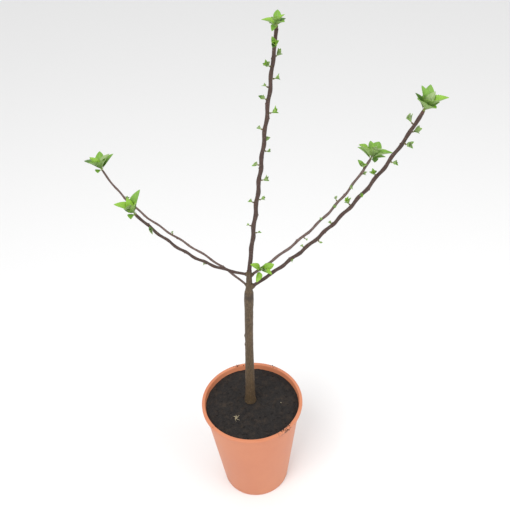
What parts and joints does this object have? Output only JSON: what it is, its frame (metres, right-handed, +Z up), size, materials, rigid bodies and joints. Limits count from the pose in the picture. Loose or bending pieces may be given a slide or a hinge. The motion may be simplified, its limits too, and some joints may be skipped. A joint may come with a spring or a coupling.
{
  "type": "potted apple tree",
  "caption": "Young apple tree in a tapered plastic pot: a straight trunk, a leader and four rising boughs with small tufts of opening leaves.",
  "frame": {"origin": "centre of the pot's flat underside, on the ground", "axes": "+Z up along the pot's axis, +Y away from the viewer of the picture, +X to their right"},
  "size_m": [0.6009, 0.2565, 1.1307],
  "materials": {
    "pot": "matt terracotta-coloured plastic",
    "compost": "dark crumbly potting compost",
    "bark": "young brown bark",
    "leaves": "soft fresh green leaf"
  },
  "bodies": {
    "root": {"bough_back_left": "bark", "bough_back_right": "bark", "bough_front_left": "bark", "bough_front_right": "bark", "leader": "bark", "leaves_back_left_tip": "leaves", "leaves_back_right_tip": "leaves", "leaves_fork": "leaves", "leaves_front_left_tip": "leaves", "leaves_front_right_tip": "leaves", "leaves_leader_tip": "leaves", "pot": "pot", "soil": "compost", "spur_back_left_01": "leaves", "spur_back_left_02": "leaves", "spur_back_right_01": "leaves", "spur_back_right_02": "leaves", "spur_back_right_03": "leaves", "spur_back_right_04": "leaves", "spur_back_right_05": "leaves", "spur_back_right_06": "leaves", "spur_back_right_07": "leaves", "spur_front_left_01": "leaves", "spur_front_left_02": "leaves", "spur_front_right_01": "leaves", "spur_front_right_02": "leaves", "spur_front_right_03": "leaves", "spur_front_right_04": "leaves", "spur_front_right_05": "leaves", "spur_front_right_06": "leaves", "spur_front_right_07": "leaves", "spur_front_right_08": "leaves", "spur_front_right_09": "leaves", "spur_front_right_10": "leaves", "spur_front_right_11": "leaves", "spur_leader_01": "leaves", "spur_leader_02": "leaves", "spur_leader_03": "leaves", "spur_leader_04": "leaves", "spur_leader_05": "leaves", "spur_leader_06": "leaves", "spur_leader_07": "leaves", "spur_leader_08": "leaves", "spur_leader_09": "leaves", "spur_leader_10": "leaves", "spur_leader_11": "leaves", "spur_leader_12": "leaves", "spur_leader_13": "leaves", "spur_leader_14": "leaves", "spur_leader_15": "leaves", "spur_leader_16": "leaves", "trunk": "bark"}
  },
  "joints": []
}
